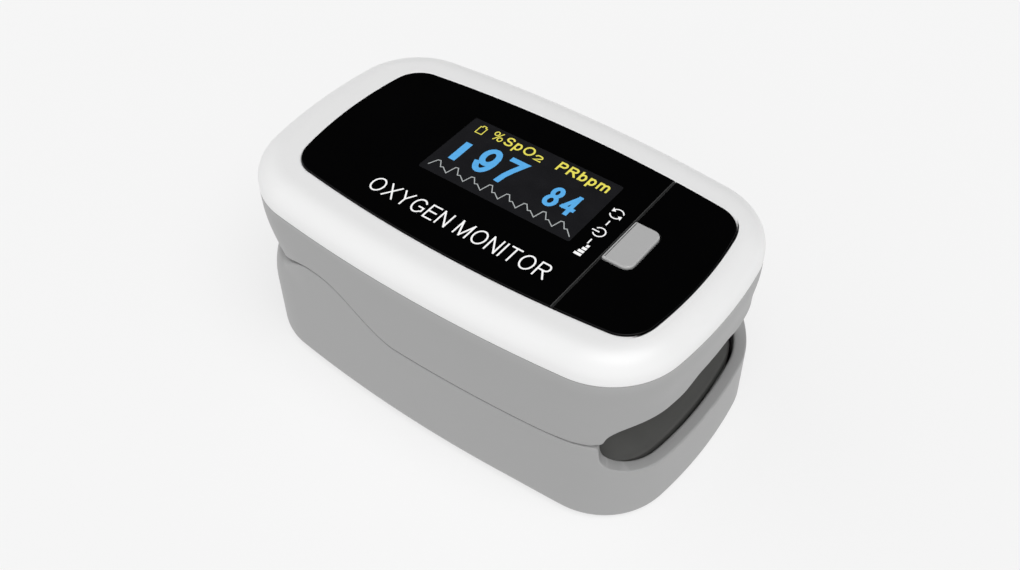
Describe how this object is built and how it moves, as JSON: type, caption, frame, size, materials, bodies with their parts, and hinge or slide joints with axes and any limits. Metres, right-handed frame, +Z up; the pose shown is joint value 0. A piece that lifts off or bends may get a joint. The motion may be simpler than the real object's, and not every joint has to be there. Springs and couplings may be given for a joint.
{
  "type": "fingertip pulse oximeter",
  "caption": "Clip-on fingertip pulse oximeter: two sprung housing halves with padded finger channel, lit display under a black panel, push key, battery bay underneath.",
  "frame": {"origin": "centre of the flat underside, where the object rests", "axes": "+X along the length, out of the finger opening; +Y across the width; +Z up, through the display"},
  "size_m": [0.06, 0.036, 0.0282],
  "materials": {
    "grey_housing": "light grey moulded ABS, fine satin texture",
    "white_housing": "white moulded ABS, soft gloss",
    "gloss_panel": "black back-printed acrylic, high gloss",
    "key_grey": "grey moulded key, satin",
    "pad_rubber": "soft dark silicone, matt",
    "inner_frame": "dark grey moulded plastic, matt",
    "spring_steel": "drawn steel wire",
    "screw_steel": "zinc-plated steel",
    "switch_metal": "stamped steel lid with black plunger",
    "contact_nickel": "nickel-plated spring steel",
    "cell_wrap": "printed film wrap, no lettering",
    "circuit_board": "green solder mask",
    "chip_black": "moulded epoxy package",
    "display_glass": "dark display glass",
    "emitter_red": "red epoxy lens",
    "clear_window": "clear moulded window",
    "flex_amber": "amber polyimide film"
  },
  "bodies": {
    "lower_half": {"lower_shell": "grey_housing", "lower_inner_frame": "inner_frame", "lower_finger_pad": "pad_rubber", "hinge_pin": "spring_steel", "torsion_spring_left": "spring_steel", "torsion_spring_right": "spring_steel", "photodiode_board": "circuit_board", "photodiode": "chip_black", "sensor_window": "clear_window", "aaa_cell_left": "cell_wrap", "aaa_cell_right": "cell_wrap", "rear_bridge_contact": "contact_nickel", "front_positive_contact": "contact_nickel", "front_negative_contact": "contact_nickel", "rear_contact_coil": "contact_nickel", "front_contact_coil": "contact_nickel", "lower_screw_left": "screw_steel", "lower_screw_right": "screw_steel", "flex_cable": "flex_amber"},
    "upper_half": {"upper_shell": "grey_housing", "top_cover": "white_housing", "display_window": "gloss_panel", "button_fascia": "gloss_panel", "upper_inner_frame": "inner_frame", "upper_finger_pad": "pad_rubber", "upper_screw_left": "screw_steel", "upper_screw_right": "screw_steel", "main_board": "circuit_board", "oled_display": "display_glass", "display_flex": "flex_amber", "microcontroller": "chip_black", "tact_switch": "switch_metal", "led_emitter": "emitter_red", "emitter_window": "clear_window"},
    "power_button": {"power_button": "key_grey"},
    "battery_door": {"battery_door": "grey_housing"}
  },
  "joints": [
    {"name": "clamp_hinge", "type": "hinge", "parent": "lower_half", "child": "upper_half", "pos_m": [-0.0175, 0, 0.0156], "axis": [0, -1, 0], "range_deg": [0, 12], "stiffness_Nm_per_rad": 0.12, "springref_deg": -34.38, "deforming": ["torsion_spring_left", "torsion_spring_right", "flex_cable"]},
    {"name": "power_button_push", "type": "slide", "parent": "upper_half", "child": "power_button", "axis": [0, 0, -1], "range_m": [0, 0.0004], "stiffness_N_per_m": 1500, "springref_m": -0.0002},
    {"name": "battery_door_slide", "type": "slide", "parent": "lower_half", "child": "battery_door", "axis": [-1, 0, 0], "range_m": [0, 0.045]}
  ]
}
